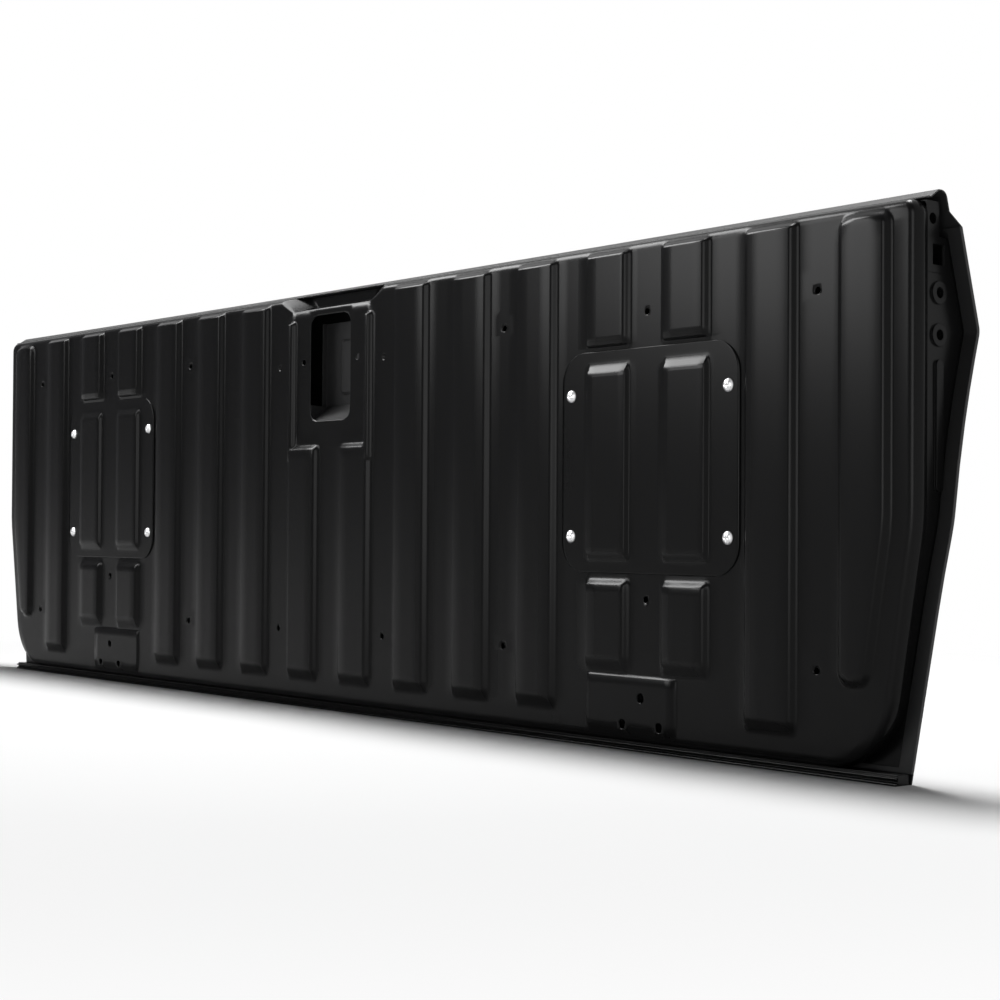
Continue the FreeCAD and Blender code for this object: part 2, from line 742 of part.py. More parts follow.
def make_pocket_floor():
    """Sloping floor of the handle pocket, with a weld flange behind the panel and one side flange."""
    z = pocket_bottom
    section = Part.makePolygon([
        FreeCAD.Vector(0, sheet, z - floor_flange), FreeCAD.Vector(0, 2 * sheet, z - floor_flange),
        FreeCAD.Vector(0, 2 * sheet, z - sheet), FreeCAD.Vector(0, bracket_face - 1, z + floor_rise - sheet),
        FreeCAD.Vector(0, bracket_face - 1, z + floor_rise), FreeCAD.Vector(0, sheet, z),
        FreeCAD.Vector(0, sheet, z - floor_flange)])
    floor = Part.Face(section).extrude(FreeCAD.Vector(2 * pocket_half, 0, 0))
    side = Part.makePolygon([
        FreeCAD.Vector(0, sheet, z - sheet), FreeCAD.Vector(0, bracket_face - 1, z + floor_rise - sheet),
        FreeCAD.Vector(0, sheet, z + floor_rise), FreeCAD.Vector(0, sheet, z - sheet)])
    side_flange = Part.Face(side).extrude(FreeCAD.Vector(sheet, 0, 0))
    floor = floor.fuse(side_flange).removeSplitter()
    floor.translate(FreeCAD.Vector(-pocket_half, 0, 0))
    return floor


def make_handle_bracket():
    """Z-shaped bracket behind the pocket: a foot on the panel, a web and a plate with a raised pad."""
    z0, z1 = bracket_bottom, bracket_top
    thick = bracket_sheet
    foot = block(bracket_right - thick, bracket_right + bracket_foot, sheet, sheet + thick, z0, z1)
    web = block(bracket_right - thick, bracket_right, sheet, bracket_face + thick, z0, z1)
    plate = block(bracket_left, bracket_right, bracket_face, bracket_face + thick, z0, z1)
    lip = block(bracket_left, bracket_left + thick, bracket_face - bracket_lip, bracket_face + thick, z0, z1)
    x0, x1 = bracket_pad_left, bracket_pad_right
    low, high = z0 + bracket_pad_margin, z1 - bracket_pad_margin
    run = bracket_pad_run
    pad = frustum(cut_rectangle(x0, x1, low, high, run, bracket_face),
                  cut_rectangle(x0 + run, x1 - run, low + run, high - run, run / 2,
                                bracket_face - bracket_pad_height))
    pad_hollow = pad.copy()
    pad_hollow.translate(BACK * thick)
    return foot.multiFuse([web, plate, lip, pad]).cut(pad_hollow).removeSplitter()


def make_bottom_hem():
    """Ridged lip under the inner panel, closed by a flat foot against the skin."""
    def front_line(step):
        y = lip_front + step
        return [(y, 0), (y, 1.6), (y + lip_ridge, 2.8), (y + lip_ridge, 4.0), (y, 5.0), (y, 5.8),
                (y + lip_ridge, 6.6)]

    top = panel_bottom
    outer = front_line(0)
    inner = front_line(sheet)
    points = outer + [(lip_front + lip_ridge, top), (return_depth, top), (return_depth, top - sheet),
                      (lip_front + lip_ridge + sheet, top - sheet)] + inner[::-1]
    wire = Part.makePolygon([FreeCAD.Vector(0, y, z) for y, z in points + points[:1]])
    half = panel_half + hem_reach - end_lean * knee_height - sheet
    lip = Part.Face(wire).extrude(FreeCAD.Vector(2 * half, 0, 0))
    lip.translate(FreeCAD.Vector(-half, 0, 0))
    inside = behind_skin(sheet)
    foot = block(-half, half, lip_front, 2 * skin_foot, 0, sheet).common(inside)
    ends = []
    for side in (-1, 1):
        x0 = side * half - (sheet if side == 1 else 0)
        end = block(x0, x0 + sheet, lip_front + lip_ridge, 2 * skin_foot, 0, top).common(inside)
        ends.append(end)
    return lip.multiFuse([foot] + ends).removeSplitter()


def make_top_bracket():
    """Folded bracket that ties the panel's top flange to the end wall in the notched corner."""
    outer_x = panel_half - sheet
    top = panel_top - sheet
    leg = block(outer_x - sheet, outer_x, return_depth, bracket_back, end_wall_top, top)
    arm = block(outer_x - bracket_length, outer_x, return_depth, bracket_back, top - sheet, top)
    tab = block(outer_x - bracket_length, panel_half - top_corner_radius, panel_roll, return_depth,
                top - sheet, top)
    hole = many_sided(bracket_hole_radius, small_sides, 4 * sheet,
                      FreeCAD.Vector(outer_x - 2 * sheet, (return_depth + bracket_back) / 2,
                                     (top + end_wall_top) / 2), RIGHT)
    return leg.multiFuse([arm, tab]).cut(hole).removeSplitter()


def add_node(name, shapes):
    solids = shapes if isinstance(shapes, list) else [shapes]
    shape = Part.makeCompound(solids) if len(solids) > 1 else solids[0]
    nodes[name] = shape


def add_pair(name, shapes):
    solids = shapes if isinstance(shapes, list) else [shapes]
    add_node("right_" + name, solids)
    add_node("left_" + name, [mirrored(solid) for solid in solids])


add_node("inner_panel", make_inner_panel())
add_node("outer_skin", make_outer_skin())
add_node("bottom_hem", make_bottom_hem())
add_node("handle_bracket", make_handle_bracket())
add_node("pocket_floor", make_pocket_floor())
add_pair("end_wall", make_end_wall())
add_pair("corner_gusset", make_corner_gusset())
add_pair("top_corner_bracket", make_top_bracket())
add_pair("latch_plate", make_latch_plate())
add_pair("latch_nuts", make_latch_nuts())
add_pair("hinge_plate", make_hinge_plate())
add_pair("hinge_nuts", make_hinge_nuts())
add_pair("access_cover", make_access_cover())
add_pair("cover_screws", make_cover_screws())

nearest = nodes["inner_panel"].optimalBoundingBox().YMin
furthest = nodes["outer_skin"].optimalBoundingBox().YMax
centre_depth = (nearest + furthest) / 2
print("middle of the depth", round(centre_depth, 3))

os.makedirs("parts", exist_ok=True)
for name, shape in nodes.items():
    shape.translate(FORWARD * centre_depth)
    shape.exportStep("parts/" + name + ".step")
    print(name, len(shape.Solids), shape.isValid(), round(shape.Volume))
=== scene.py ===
import bpy
import math
import numpy as np
from mathutils import Matrix, Vector


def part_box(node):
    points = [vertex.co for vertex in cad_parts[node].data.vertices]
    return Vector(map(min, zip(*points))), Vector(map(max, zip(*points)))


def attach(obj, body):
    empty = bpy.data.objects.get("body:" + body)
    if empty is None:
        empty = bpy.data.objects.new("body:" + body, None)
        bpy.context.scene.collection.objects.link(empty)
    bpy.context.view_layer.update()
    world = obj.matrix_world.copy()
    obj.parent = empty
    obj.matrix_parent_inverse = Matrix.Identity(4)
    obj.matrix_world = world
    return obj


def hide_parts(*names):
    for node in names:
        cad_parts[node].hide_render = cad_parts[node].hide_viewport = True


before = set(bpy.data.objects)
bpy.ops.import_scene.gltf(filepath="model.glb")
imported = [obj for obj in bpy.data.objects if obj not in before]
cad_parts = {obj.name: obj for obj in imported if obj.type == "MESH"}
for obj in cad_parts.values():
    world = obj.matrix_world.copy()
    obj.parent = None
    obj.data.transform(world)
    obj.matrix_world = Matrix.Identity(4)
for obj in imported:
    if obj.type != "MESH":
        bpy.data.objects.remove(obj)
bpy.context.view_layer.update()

# Sizes in millimetres, in the CAD frame: X along the gate, Y to the outer skin, Z up
MM = 0.001
RIB_HEIGHT = 5.5
panel_low, panel_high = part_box("inner_panel")
FACE_Y = panel_low.y / MM + RIB_HEIGHT       # the ribbed sheet's face
SHEET = 1.0

PANEL_HALF = panel_high.x / MM
PANEL_BOTTOM = panel_low.z / MM
PANEL_TOP = 429.0
GATE_TOP = 436.0
KNEE_Z = 191.84
LEAN = 0.16
CORNER = 65.0
TOP_CORNER = 12.0
KNEE_RADIUS = 150.0
ROLL = 8.0
RETURN_DEPTH = 13.0

RIB_PITCH = 93.0
RIB_WIDTH = 58.0
RIB_RUN = 8.0
RIB_BOTTOM = 27.0
RIB_TOP = 425.0
RIB_LOW_RUN = 14.0
RIB_TOP_RUN = 6.0
HINGE_RIB_BOTTOM = 62.0
HINGE_RIB_RUN = 18.0
STUB_RUN = 3.0
RIBS = 7                                     # on each side of the middle

# Outer rib of each end: inner edge, outer edge above the knee, bottom
END_RIB = (671.0, 724.0, 68.0)
END_RIB_CORNER = 14.0
SURROUND_BOTTOM = 274.0

# Beads beside the handle pocket: x0, x1, z0, z1, corner, run
HANDLE_BEAD = (61.5, 75.5, 252.0, 404.0, 5.0, 5.5)

# Pocket opening: x0, x1, z0, z1, corner
POCKET = (-36.0, 36.0, 297.0, 406.0, 12.0)
HANDLE_HOLE = (48.0, 359.0)
HANDLE_HOLE_RADIUS = 3.0
cover_low, cover_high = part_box("right_access_cover")
COVER_CENTRE = (cover_low.x + cover_high.x) / 2 / MM
COVER_HALF = (cover_high.x - cover_low.x) / 2 / MM
COVER_CORNER = 27.0
COVER = (-COVER_HALF, COVER_HALF, cover_low.z / MM, cover_high.z / MM, COVER_CORNER)
COVER_GAP = 3.0                              # between the cover and the ribs above and below it

# Pads of a cover: distance from its middle, width, distance from its ends, height
COVER_PADS = (46.5, 54.0, 9.0, 4.5)
PAD_SIDE_RUN = 4.5
PAD_LOW_RUN = 10.0
PAD_TOP_RUN = 13.0
SCREW_SPREAD = 93.5
SCREW_FROM_BOTTOM = 31.0
SCREW_FROM_TOP = 37.0
SCREWS = [(side * SCREW_SPREAD, z) for side in (-1, 1)
          for z in (COVER[2] + SCREW_FROM_BOTTOM, COVER[3] - SCREW_FROM_TOP)]

# Hinge seat: x0, x1, z0, z1, height, run
HINGE_SEAT = (393.0, 502.0, 16.0, 64.0, 2.0, 1.5)
HINGE_HOLES = [(439.0, 22.5), (483.0, 22.5), (461.0, 45.5)]
HINGE_HOLE_RADIUS = 4.0

# Trim holes: rib pitches from the middle, height
TRIM_HOLES = [(1, 356), (1, 80), (3, 369), (3, 80), (5, 369), (5, 128), (7, 369), (7, 80)]
TRIM_HOLE_RADIUS = 2.75
BLIND_DEPTH = 14.0

# Finger scoop: half width at the top and at the bottom, bottom, half width of its back at the top and
# at the bottom, bottom of its back, depth
SCOOP = (116.0, 71.0, 413.0, 64.0, 48.0, 418.0, 19.0)


def smooth(t, round_share=0.32):
    """Rise from 0 to 1 with a straight slope and rounded foot and crest."""
    t = np.clip(t, 0.0, 1.0)
    slope = 1.0 / (1.0 - round_share)
    rise = slope * (t - round_share / 2)
    rise = np.where(t < round_share, slope * t * t / (2 * round_share), rise)
    return np.where(t > 1 - round_share, 1 - slope * (1 - t) ** 2 / (2 * round_share), rise)


def meet(a, b, radius):
    """Depth inside two edges whose common corner is rounded."""
    near = (a < radius) | (b < radius)
    corner = radius - np.hypot(np.maximum(radius - a, 0), np.maximum(radius - b, 0))
    return np.where(near, corner, np.minimum(a, b))


def inside(x, z, x0, x1, z0, z1, radius):
    """Depth inside a rectangle with rounded corners."""
    across = np.minimum(x - x0, x1 - x)
    along = np.minimum(z - z0, z1 - z)
    return meet(across, along, radius)


def arc_points(before, corner, after, radius, steps):
    """Points of the arc that rounds a corner of an outline."""
    corner = np.array(corner, float)
    back = np.array(before, float) - corner
    ahead = np.array(after, float) - corner
    back /= np.linalg.norm(back)
    ahead /= np.linalg.norm(ahead)
    half = math.acos(float(np.dot(back, ahead))) / 2
    bisector = back + ahead
    bisector /= np.linalg.norm(bisector)
    centre = corner + bisector * radius / math.sin(half)
    start = corner + back * radius / math.tan(half) - centre
    end = corner + ahead * radius / math.tan(half) - centre
    a0 = math.atan2(start[1], start[0])
    turn = math.atan2(end[1], end[0]) - a0
    turn = (turn + math.pi) % (2 * math.pi) - math.pi
    return [centre + radius * np.array([math.cos(a0 + turn * i / steps), math.sin(a0 + turn * i / steps)])
            for i in range(steps + 1)]


def panel_side():
    """Right edge of the panel from its bottom to its top: x and z."""
    foot = (PANEL_HALF - LEAN * (KNEE_Z - PANEL_BOTTOM), PANEL_BOTTOM)
    knee = (PANEL_HALF, KNEE_Z)
    head = (PANEL_HALF, PANEL_TOP)
    points = arc_points((0, PANEL_BOTTOM), foot, knee, CORNER, 24)
    points += arc_points(foot, knee, head, KNEE_RADIUS, 6)
    points += arc_points(knee, head, (0, PANEL_TOP), TOP_CORNER, 12)
    return np.array(points)


def depth_inside(x, z, side):
    """Distance from the mirrored outline whose right edge is given."""
    first = np.vstack([[0, side[0, 1]], side])
    last = np.vstack([side, [0, side[-1, 1]]])
    x = np.abs(x)
    best = np.full(x.shape, 1e9)
    for (ax, az), (bx, bz) in zip(first, last):
        length = (bx - ax) ** 2 + (bz - az) ** 2
        if length < 1e-12:
            continue
        t = np.clip(((x - ax) * (bx - ax) + (z - az) * (bz - az)) / length, 0, 1)
        best = np.minimum(best, np.hypot(x - ax - t * (bx - ax), z - az - t * (bz - az)))
    return best


def roll_depth(d, radius):
    """How far a rolled rim has turned back at a distance from its edge."""
    t = np.clip(radius - d, 0, radius)
    return radius - np.sqrt(radius * radius - t * t)


def roll_marks(radius, steps):
    """Distances from the edge at which a rolled rim needs a grid line."""
    return [radius * (1 - math.cos(math.pi / 2 * i / steps)) for i in range(steps + 1)]


def grid_lines(low, high, marks, coarse, closest):
    """Grid lines at the marks, none nearer than closest, and between them none farther than coarse."""
    marks = sorted(set([low, high] + [m for m in marks if low < m < high]))
    kept = [marks[0]]
    for mark in marks[1:]:
        if mark - kept[-1] >= closest:
            kept.append(mark)
    kept[-1] = high
    lines = []
    for a, b in zip(kept, kept[1:]):
        n = max(1, math.ceil((b - a) / coarse - 1e-9))
        lines += [a + (b - a) * i / n for i in range(n)]
    return np.array(lines + [high])


def steps_between(a, b, n):
    return [a + (b - a) * i / n for i in range(n + 1)]


def raised(x, z, x0, x1, z0, z1, side_run, low_run, top_run):
    """Raised field with sloping sides and ends."""
    across = np.minimum(x - x0, x1 - x) / side_run
    along = np.minimum((z - z0) / low_run, (z1 - z) / top_run)
    return smooth(across) * smooth(along)


def cover_relief(x, z):
    """Raised pads of an access cover, about its own middle."""
    x0, x1, z0, z1, _ = COVER
    spread, width, gap, height = COVER_PADS
    relief = np.zeros(x.shape)
    for side in (-1, 1):
        middle = side * spread
        pad = raised(x, z, middle - width / 2, middle + width / 2, z0 + gap, z1 - gap,
                     PAD_SIDE_RUN, PAD_LOW_RUN, PAD_TOP_RUN)
        relief = np.maximum(relief, height * pad)
    return relief


def panel_relief(x, z):
    """Raised ribs of the panel, on the half with x over 0."""
    x = np.abs(x)
    relief = np.zeros(x.shape)
    for i in range(RIBS):
        middle = RIB_PITCH * (i + 0.5)
        spans = [(RIB_BOTTOM, RIB_TOP, RIB_LOW_RUN, RIB_TOP_RUN)]
        if i == 0:
            spans = [(RIB_BOTTOM, SURROUND_BOTTOM, RIB_LOW_RUN, RIB_RUN)]
        if abs(middle - COVER_CENTRE) < COVER[1]:
            spans = [(HINGE_RIB_BOTTOM, COVER[2] - COVER_GAP, HINGE_RIB_RUN, RIB_RUN),
                     (COVER[3] + COVER_GAP, RIB_TOP, STUB_RUN, RIB_TOP_RUN)]
        for z0, z1, low_run, top_run in spans:
            rib = raised(x, z, middle - RIB_WIDTH / 2, middle + RIB_WIDTH / 2, z0, z1,
                         RIB_RUN, low_run, top_run)
            relief = np.maximum(relief, rib)
    inner, outer, bottom = END_RIB
    lean = LEAN * np.maximum(KNEE_Z - z, 0)
    across = np.minimum(x - inner, (outer - lean) - x)
    d = meet(across, np.minimum(z - bottom, RIB_TOP - z), END_RIB_CORNER)
    relief = np.maximum(relief, smooth(d / RIB_RUN))
    x0, x1, z0, z1, corner, run = HANDLE_BEAD
    d = inside(x, z, x0, x1, z0, z1, corner)
    relief = RIB_HEIGHT * np.maximum(relief, smooth(d / run))
    x0, x1, z0, z1, height, run = HINGE_SEAT
    d = inside(x, z, x0, x1, z0, z1, 2 * run)
    return np.maximum(relief, height * smooth(d / run))


def scoop_depth(x, z):
    """Depth of the finger scoop over the pocket, 0 outside it."""
    half_top, half_low, low, back_top, back_low, back_z, deep = SCOOP
    x = np.abs(x)
    share = (z - low) / (GATE_TOP - low)
    outer = half_low + (half_top - half_low) * share
    back_share = (z - back_z) / (GATE_TOP - back_z)
    inner = back_low + (back_top - back_low) * back_share
    side = (outer - x) / (outer - inner)
    under = (z - low) / (back_z - low)
    return deep * smooth(meet(side, under, 0.2), 0.12)


side_points = panel_side()
FIXED_HALF = 655.5                           # grid columns nearer to the middle stay upright
SHIFT_LIMIT = 22.0
SHIFT_START = 684.0
SHIFT_SPAN = 28.0


def panel_x(x, z):
    """Grid columns follow the leaning end of the panel."""
    edge = np.interp(z, side_points[:, 1], side_points[:, 0])
    shift = PANEL_HALF - edge
    sign = np.sign(x)
    a = np.abs(x)
    part = np.clip((a - SHIFT_START) / SHIFT_SPAN, 0, 1)
    near = a - np.minimum(shift, SHIFT_LIMIT) * part
    squeeze = (edge - FIXED_HALF) / (PANEL_HALF - SHIFT_LIMIT - FIXED_HALF)
    near = np.where(shift > SHIFT_LIMIT, FIXED_HALF + (near - FIXED_HALF) * squeeze, near)
    return sign * np.where(a > FIXED_HALF, near, a)


def panel_surface(x, z):
    """Distance of the panel's face behind the plane of the grooves."""
    d = depth_inside(x, z, side_points)
    y = roll_depth(d, ROLL)
    scoop = scoop_depth(x, z)
    y = np.where(scoop > 0, np.maximum(y, scoop), y)
    return y - panel_relief(x, z)


def make_material(name):
    material = bpy.data.materials.new(name)
    material.use_nodes = True
    return material, material.node_tree.nodes, material.node_tree.links


def coat_material(name, level=0.005, soft_edges=0.0, specular=0.10, roughness=0.26):
    material, nodes, links = make_material(name)
    shader = nodes["Principled BSDF"]
    shader.inputs["Specular IOR Level"].default_value = specular
    shader.inputs["Roughness"].default_value = roughness
    shader.inputs["Metallic"].default_value = 0.0
    place = nodes.new("ShaderNodeTexCoord")
    cloud = nodes.new("ShaderNodeTexNoise")
    cloud.inputs["Scale"].default_value = 3.0
    cloud.inputs["Detail"].default_value = 5.0
    ramp = nodes.new("ShaderNodeValToRGB")
    ramp.color_ramp.elements[0].color = (level * 0.85, level * 0.86, level * 0.9, 1)
    ramp.color_ramp.elements[1].color = (level * 1.2, level * 1.2, level * 1.2, 1)
    links.new(place.outputs["Object"], cloud.inputs["Vector"])
    links.new(cloud.outputs["Fac"], ramp.inputs["Fac"])
    links.new(ramp.outputs["Color"], shader.inputs["Base Color"])
    peel = nodes.new("ShaderNodeTexNoise")
    peel.inputs["Scale"].default_value = 220.0
    peel.inputs["Detail"].default_value = 2.0
    bump = nodes.new("ShaderNodeBump")
    bump.inputs["Strength"].default_value = 0.04
    bump.inputs["Distance"].default_value = 0.0004
    links.new(place.outputs["Object"], peel.inputs["Vector"])
    links.new(peel.outputs["Fac"], bump.inputs["Height"])
    links.new(bump.outputs["Normal"], shader.inputs["Normal"])
    if soft_edges:
        bevel = nodes.new("ShaderNodeBevel")
        bevel.samples = 4
        bevel.inputs["Radius"].default_value = soft_edges * MM
        links.new(bevel.outputs["Normal"], bump.inputs["Normal"])
    return material


def zinc_material(name):
    material, nodes, links = make_material(name)
    shader = nodes["Principled BSDF"]
    shader.inputs["Metallic"].default_value = 1.0
    shader.inputs["Roughness"].default_value = 0.35
    place = nodes.new("ShaderNodeTexCoord")
    cloud = nodes.new("ShaderNodeTexNoise")
    cloud.inputs["Scale"].default_value = 90.0
    ramp = nodes.new("ShaderNodeValToRGB")
    ramp.color_ramp.elements[0].color = (0.55, 0.55, 0.56, 1)
    ramp.color_ramp.elements[1].color = (0.8, 0.8, 0.8, 1)
    links.new(place.outputs["Object"], cloud.inputs["Vector"])
    links.new(cloud.outputs["Fac"], ramp.inputs["Fac"])
    links.new(ramp.outputs["Color"], shader.inputs["Base Color"])
    return material


def add_mesh(name, vertices, faces, material):
    """Smooth-shaded piece that rides on the gate and has a slot of its own."""
    mesh = bpy.data.meshes.new(name)
    mesh.from_pydata([tuple(v) for v in vertices], [], faces)
    mesh.materials.append(material)
    for polygon in mesh.polygons:
        polygon.use_smooth = True
    mesh.update()
    obj = bpy.data.objects.new(name, mesh)
    bpy.context.scene.collection.objects.link(obj)
    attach(obj, "root")
    return obj


def round_hole(cx, cz, radius, patch_share=1.7):
    """Patch of the grid round a hole, and the function that takes its rim to the hole's edge."""
    def edge(x, z):
        angle = np.arctan2(z - cz, x - cx)
        return cx + radius * np.cos(angle), cz + radius * np.sin(angle)
    reach = radius * patch_share
    return (cx - reach, cx + reach, cz - reach, cz + reach, edge)


POCKET_MARGIN = 3.0


def square_hole(x0, x1, z0, z1, radius, margin=POCKET_MARGIN):
    """Opening with rounded corners: each vertex of the patch goes to the nearest point of its edge."""
    def edge(x, z):
        cx, cz = (x0 + x1) / 2, (z0 + z1) / 2
        hx, hz = (x1 - x0) / 2 - radius, (z1 - z0) / 2 - radius
        px, pz = x - cx, z - cz
        kx, kz = np.clip(px, -hx, hx), np.clip(pz, -hz, hz)
        dx, dz = px - kx, pz - kz
        length = np.maximum(np.hypot(dx, dz), 1e-9)
        return cx + kx + dx / length * radius, cz + kz + dz / length * radius
    return (x0 - margin, x1 + margin, z0 - margin, z1 + margin, edge)


def sheet_mesh(xs, zs, place_x, surface, holes, flange=None, blind=()):
    """Grid over a sheet's face, with openings cut as patches and a flange turned back round its rim."""
    gx, gz = np.meshgrid(xs, zs)
    gx = place_x(gx, gz)
    gy = surface(gx, gz)
    rows, columns = gx.shape
    index = np.arange(rows * columns).reshape(rows, columns)
    points = np.stack([gx, gy, gz], -1).reshape(-1, 3).tolist()
    open_cell = np.zeros((rows - 1, columns - 1), bool)
    faces = []
    for x0, x1, z0, z1, edge in holes:
        i0 = int(np.searchsorted(xs, x0, "right")) - 1
        i1 = int(np.searchsorted(xs, x1, "left"))
        j0 = int(np.searchsorted(zs, z0, "right")) - 1
        j1 = int(np.searchsorted(zs, z1, "left"))
        open_cell[j0:j1, i0:i1] = True
        ring = [(j0, i) for i in range(i0, i1)] + [(j, i1) for j in range(j0, j1)]
        ring += [(j1, i) for i in range(i1, i0, -1)] + [(j, i0) for j in range(j1, j0, -1)]
        outer = [int(index[j, i]) for j, i in ring]
        ox = np.array([gx[j, i] for j, i in ring])
        oz = np.array([gz[j, i] for j, i in ring])
        ex, ez = edge(ox, oz)
        for share in (0.45, 0.8, 1.0):
            px, pz = ox + (ex - ox) * share, oz + (ez - oz) * share
            py = surface(px, pz)
            start = len(points)
            points += np.stack([px, py, pz], -1).tolist()
            inner = list(range(start, start + len(ring)))
            for k in range(len(ring)):
                after = (k + 1) % len(ring)
                faces.append((outer[k], outer[after], inner[after], inner[k]))
            outer = inner
        if any(x0 < bx < x1 and z0 < bz < z1 for bx, bz in blind):
            start = len(points)
            points += [[points[k][0], points[k][1] + BLIND_DEPTH, points[k][2]] for k in outer]
            faces.append(tuple(range(start, start + len(outer))))
            for k in range(len(outer)):
                after = (k + 1) % len(outer)
                faces.append((outer[k], outer[after], start + after, start + k))
    for j in range(rows - 1):
        for i in range(columns - 1):
            if not open_cell[j, i]:
                faces.append((int(index[j, i]), int(index[j, i + 1]), int(index[j + 1, i + 1]),
                              int(index[j + 1, i])))
    if flange is not None:
        ring = [(0, i) for i in range(columns - 1)] + [(j, columns - 1) for j in range(rows - 1)]
        ring += [(rows - 1, i) for i in range(columns - 1, 0, -1)] + [(j, 0) for j in range(rows - 1, 0, -1)]
        outer = [int(index[j, i]) for j, i in ring]
        start = len(points)
        for k in outer:
            x, y, z = points[k]
            points.append([x, max(flange, y + 0.2), z])
        for k in range(len(ring)):
            after = (k + 1) % len(ring)
            faces.append((outer[after], outer[k], start + k, start + after))
    return points, faces


def to_world(points):
    return [(x * MM, (y + FACE_Y) * MM, z * MM) for x, y, z in points]


def thicken(obj, thickness):
    solid = obj.modifiers.new("Sheet", "SOLIDIFY")
    solid.thickness = thickness * MM
    solid.offset = -1


HANDLE_HOLE_LINES = (41.5, 52.5)
SCOOP_SIDE_LINES = (56.0, 110.0)
SCOOP_STEP_LINES = (413.0, 419.0)
TRIM_PATCH_HALF = 4.2
HINGE_PATCH_HALF = 7.0
HOLE_PATCH_HALF = 4.5
BEAD_END = 6.0
COARSE = 14.0
ROLL_STEPS = 7


def panel_lines():
    """Grid lines of the panel, dense where its face bends."""
    seat_x0, seat_x1, seat_z0, seat_z1, _, seat_run = HINGE_SEAT
    bead_x0, bead_x1, bead_z0, bead_z1, _, bead_run = HANDLE_BEAD
    marks_x = []
    for i in range(RIBS):
        middle = RIB_PITCH * (i + 0.5)
        for x0 in (middle - RIB_WIDTH / 2, middle + RIB_WIDTH / 2 - RIB_RUN):
            marks_x += steps_between(x0, x0 + RIB_RUN, 5)
    marks_x += steps_between(END_RIB[0], END_RIB[0] + RIB_RUN, 6)
    marks_x += steps_between(END_RIB[1] - RIB_RUN, END_RIB[1], 6)
    marks_x += [PANEL_HALF - m for m in roll_marks(ROLL, ROLL_STEPS)]
    marks_x += [POCKET[1] + POCKET_MARGIN]
    marks_x += steps_between(bead_x0, bead_x0 + bead_run, 4) + steps_between(bead_x1 - bead_run, bead_x1, 4)
    marks_x += steps_between(*HANDLE_HOLE_LINES, 6) + steps_between(*SCOOP_SIDE_LINES, 16)
    for x in (seat_x0, seat_x1):
        marks_x += steps_between(x - seat_run, x + seat_run, 6)
    for k in {k for k, _ in TRIM_HOLES}:
        marks_x += steps_between(k * RIB_PITCH - TRIM_PATCH_HALF, k * RIB_PITCH + TRIM_PATCH_HALF, 5)
    for x, _ in HINGE_HOLES:
        marks_x += steps_between(x - HINGE_PATCH_HALF, x + HINGE_PATCH_HALF, 6)
    marks_x += [-m for m in marks_x]
    xs = grid_lines(-PANEL_HALF, PANEL_HALF, marks_x, COARSE, 0.8)
    marks_z = [PANEL_BOTTOM + m for m in roll_marks(ROLL, ROLL_STEPS)]
    marks_z += [PANEL_TOP - m for m in roll_marks(ROLL, ROLL_STEPS)]
    for z0, run in ((RIB_BOTTOM, RIB_LOW_RUN), (HINGE_RIB_BOTTOM, HINGE_RIB_RUN),
                    (COVER[2] - COVER_GAP - RIB_RUN, RIB_RUN), (COVER[3] + COVER_GAP, STUB_RUN),
                    (SURROUND_BOTTOM - RIB_RUN, RIB_RUN), (RIB_TOP - RIB_TOP_RUN, RIB_TOP_RUN),
                    (END_RIB[2], RIB_RUN)):
        marks_z += steps_between(z0, z0 + run, 5)
    marks_z += steps_between(bead_z0, bead_z0 + BEAD_END, 4) + steps_between(bead_z1 - BEAD_END, bead_z1, 4)
    marks_z += steps_between(*SCOOP_STEP_LINES, 8)
    marks_z += steps_between(seat_z0, seat_z0 + seat_run, 3) + steps_between(seat_z1 - seat_run, seat_z1, 3)
    marks_z += steps_between(seat_z0 + seat_run, HINGE_RIB_BOTTOM, 6)
    for z in {z for _, z in TRIM_HOLES} | {HINGE_HOLES[-1][1]}:
        marks_z += steps_between(z - HOLE_PATCH_HALF, z + HOLE_PATCH_HALF, 5)
    zs = grid_lines(PANEL_BOTTOM, PANEL_TOP, marks_z, COARSE, 0.6)
    return xs, zs


coat = coat_material("black_coat_paint")
zinc = zinc_material("zinc_plate")
edged_coat = coat_material("black_coat_soft_edges", soft_edges=0.8)
# Outer skin: the same black coat, rougher, with a base colour about three times the panel's. The lighter
# colour is painted light that lifts its shaded hem band.
skin_coat_painted_lighter = coat_material("black_coat_skin_painted_lighter", 0.016, 0.8, 0.25, 0.42)
# Handle bracket and pocket floor: the same black coat with a base colour four times the panel's. This is
# painted light that lifts these shaded parts.
handle_coat_painted_lighter = coat_material("black_coat_handle_parts_painted_lighter", 0.02, 0.5, 0.25, 0.35)
nut_steel = coat_material("coated_nuts", 0.012)

xs, zs = panel_lines()
holes = [square_hole(*POCKET)]
for side in (1, -1):
    for k, z in TRIM_HOLES:
        holes.append(round_hole(side * k * RIB_PITCH, z, TRIM_HOLE_RADIUS))
    for x, z in HINGE_HOLES:
        holes.append(round_hole(side * x, z, HINGE_HOLE_RADIUS))
    holes.append(round_hole(side * HANDLE_HOLE[0], HANDLE_HOLE[1], HANDLE_HOLE_RADIUS))
clip_seats = [(side * RIB_PITCH, TRIM_HOLES[0][1]) for side in (-1, 1)]
points, faces = sheet_mesh(xs, zs, panel_x, panel_surface, holes, RETURN_DEPTH, clip_seats)
panel = add_mesh("ribbed_panel", to_world(points), faces, coat)
thicken(panel, SHEET)
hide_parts("inner_panel")


def cover_half(z):
    """Half width of the cover at a height."""
    x0, x1, z0, z1, radius = COVER
    rise = np.minimum(z - z0, z1 - z)
    cut = radius - np.sqrt(np.maximum(radius ** 2 - np.clip(radius - rise, 0, radius) ** 2, 0))
    return x1 - cut


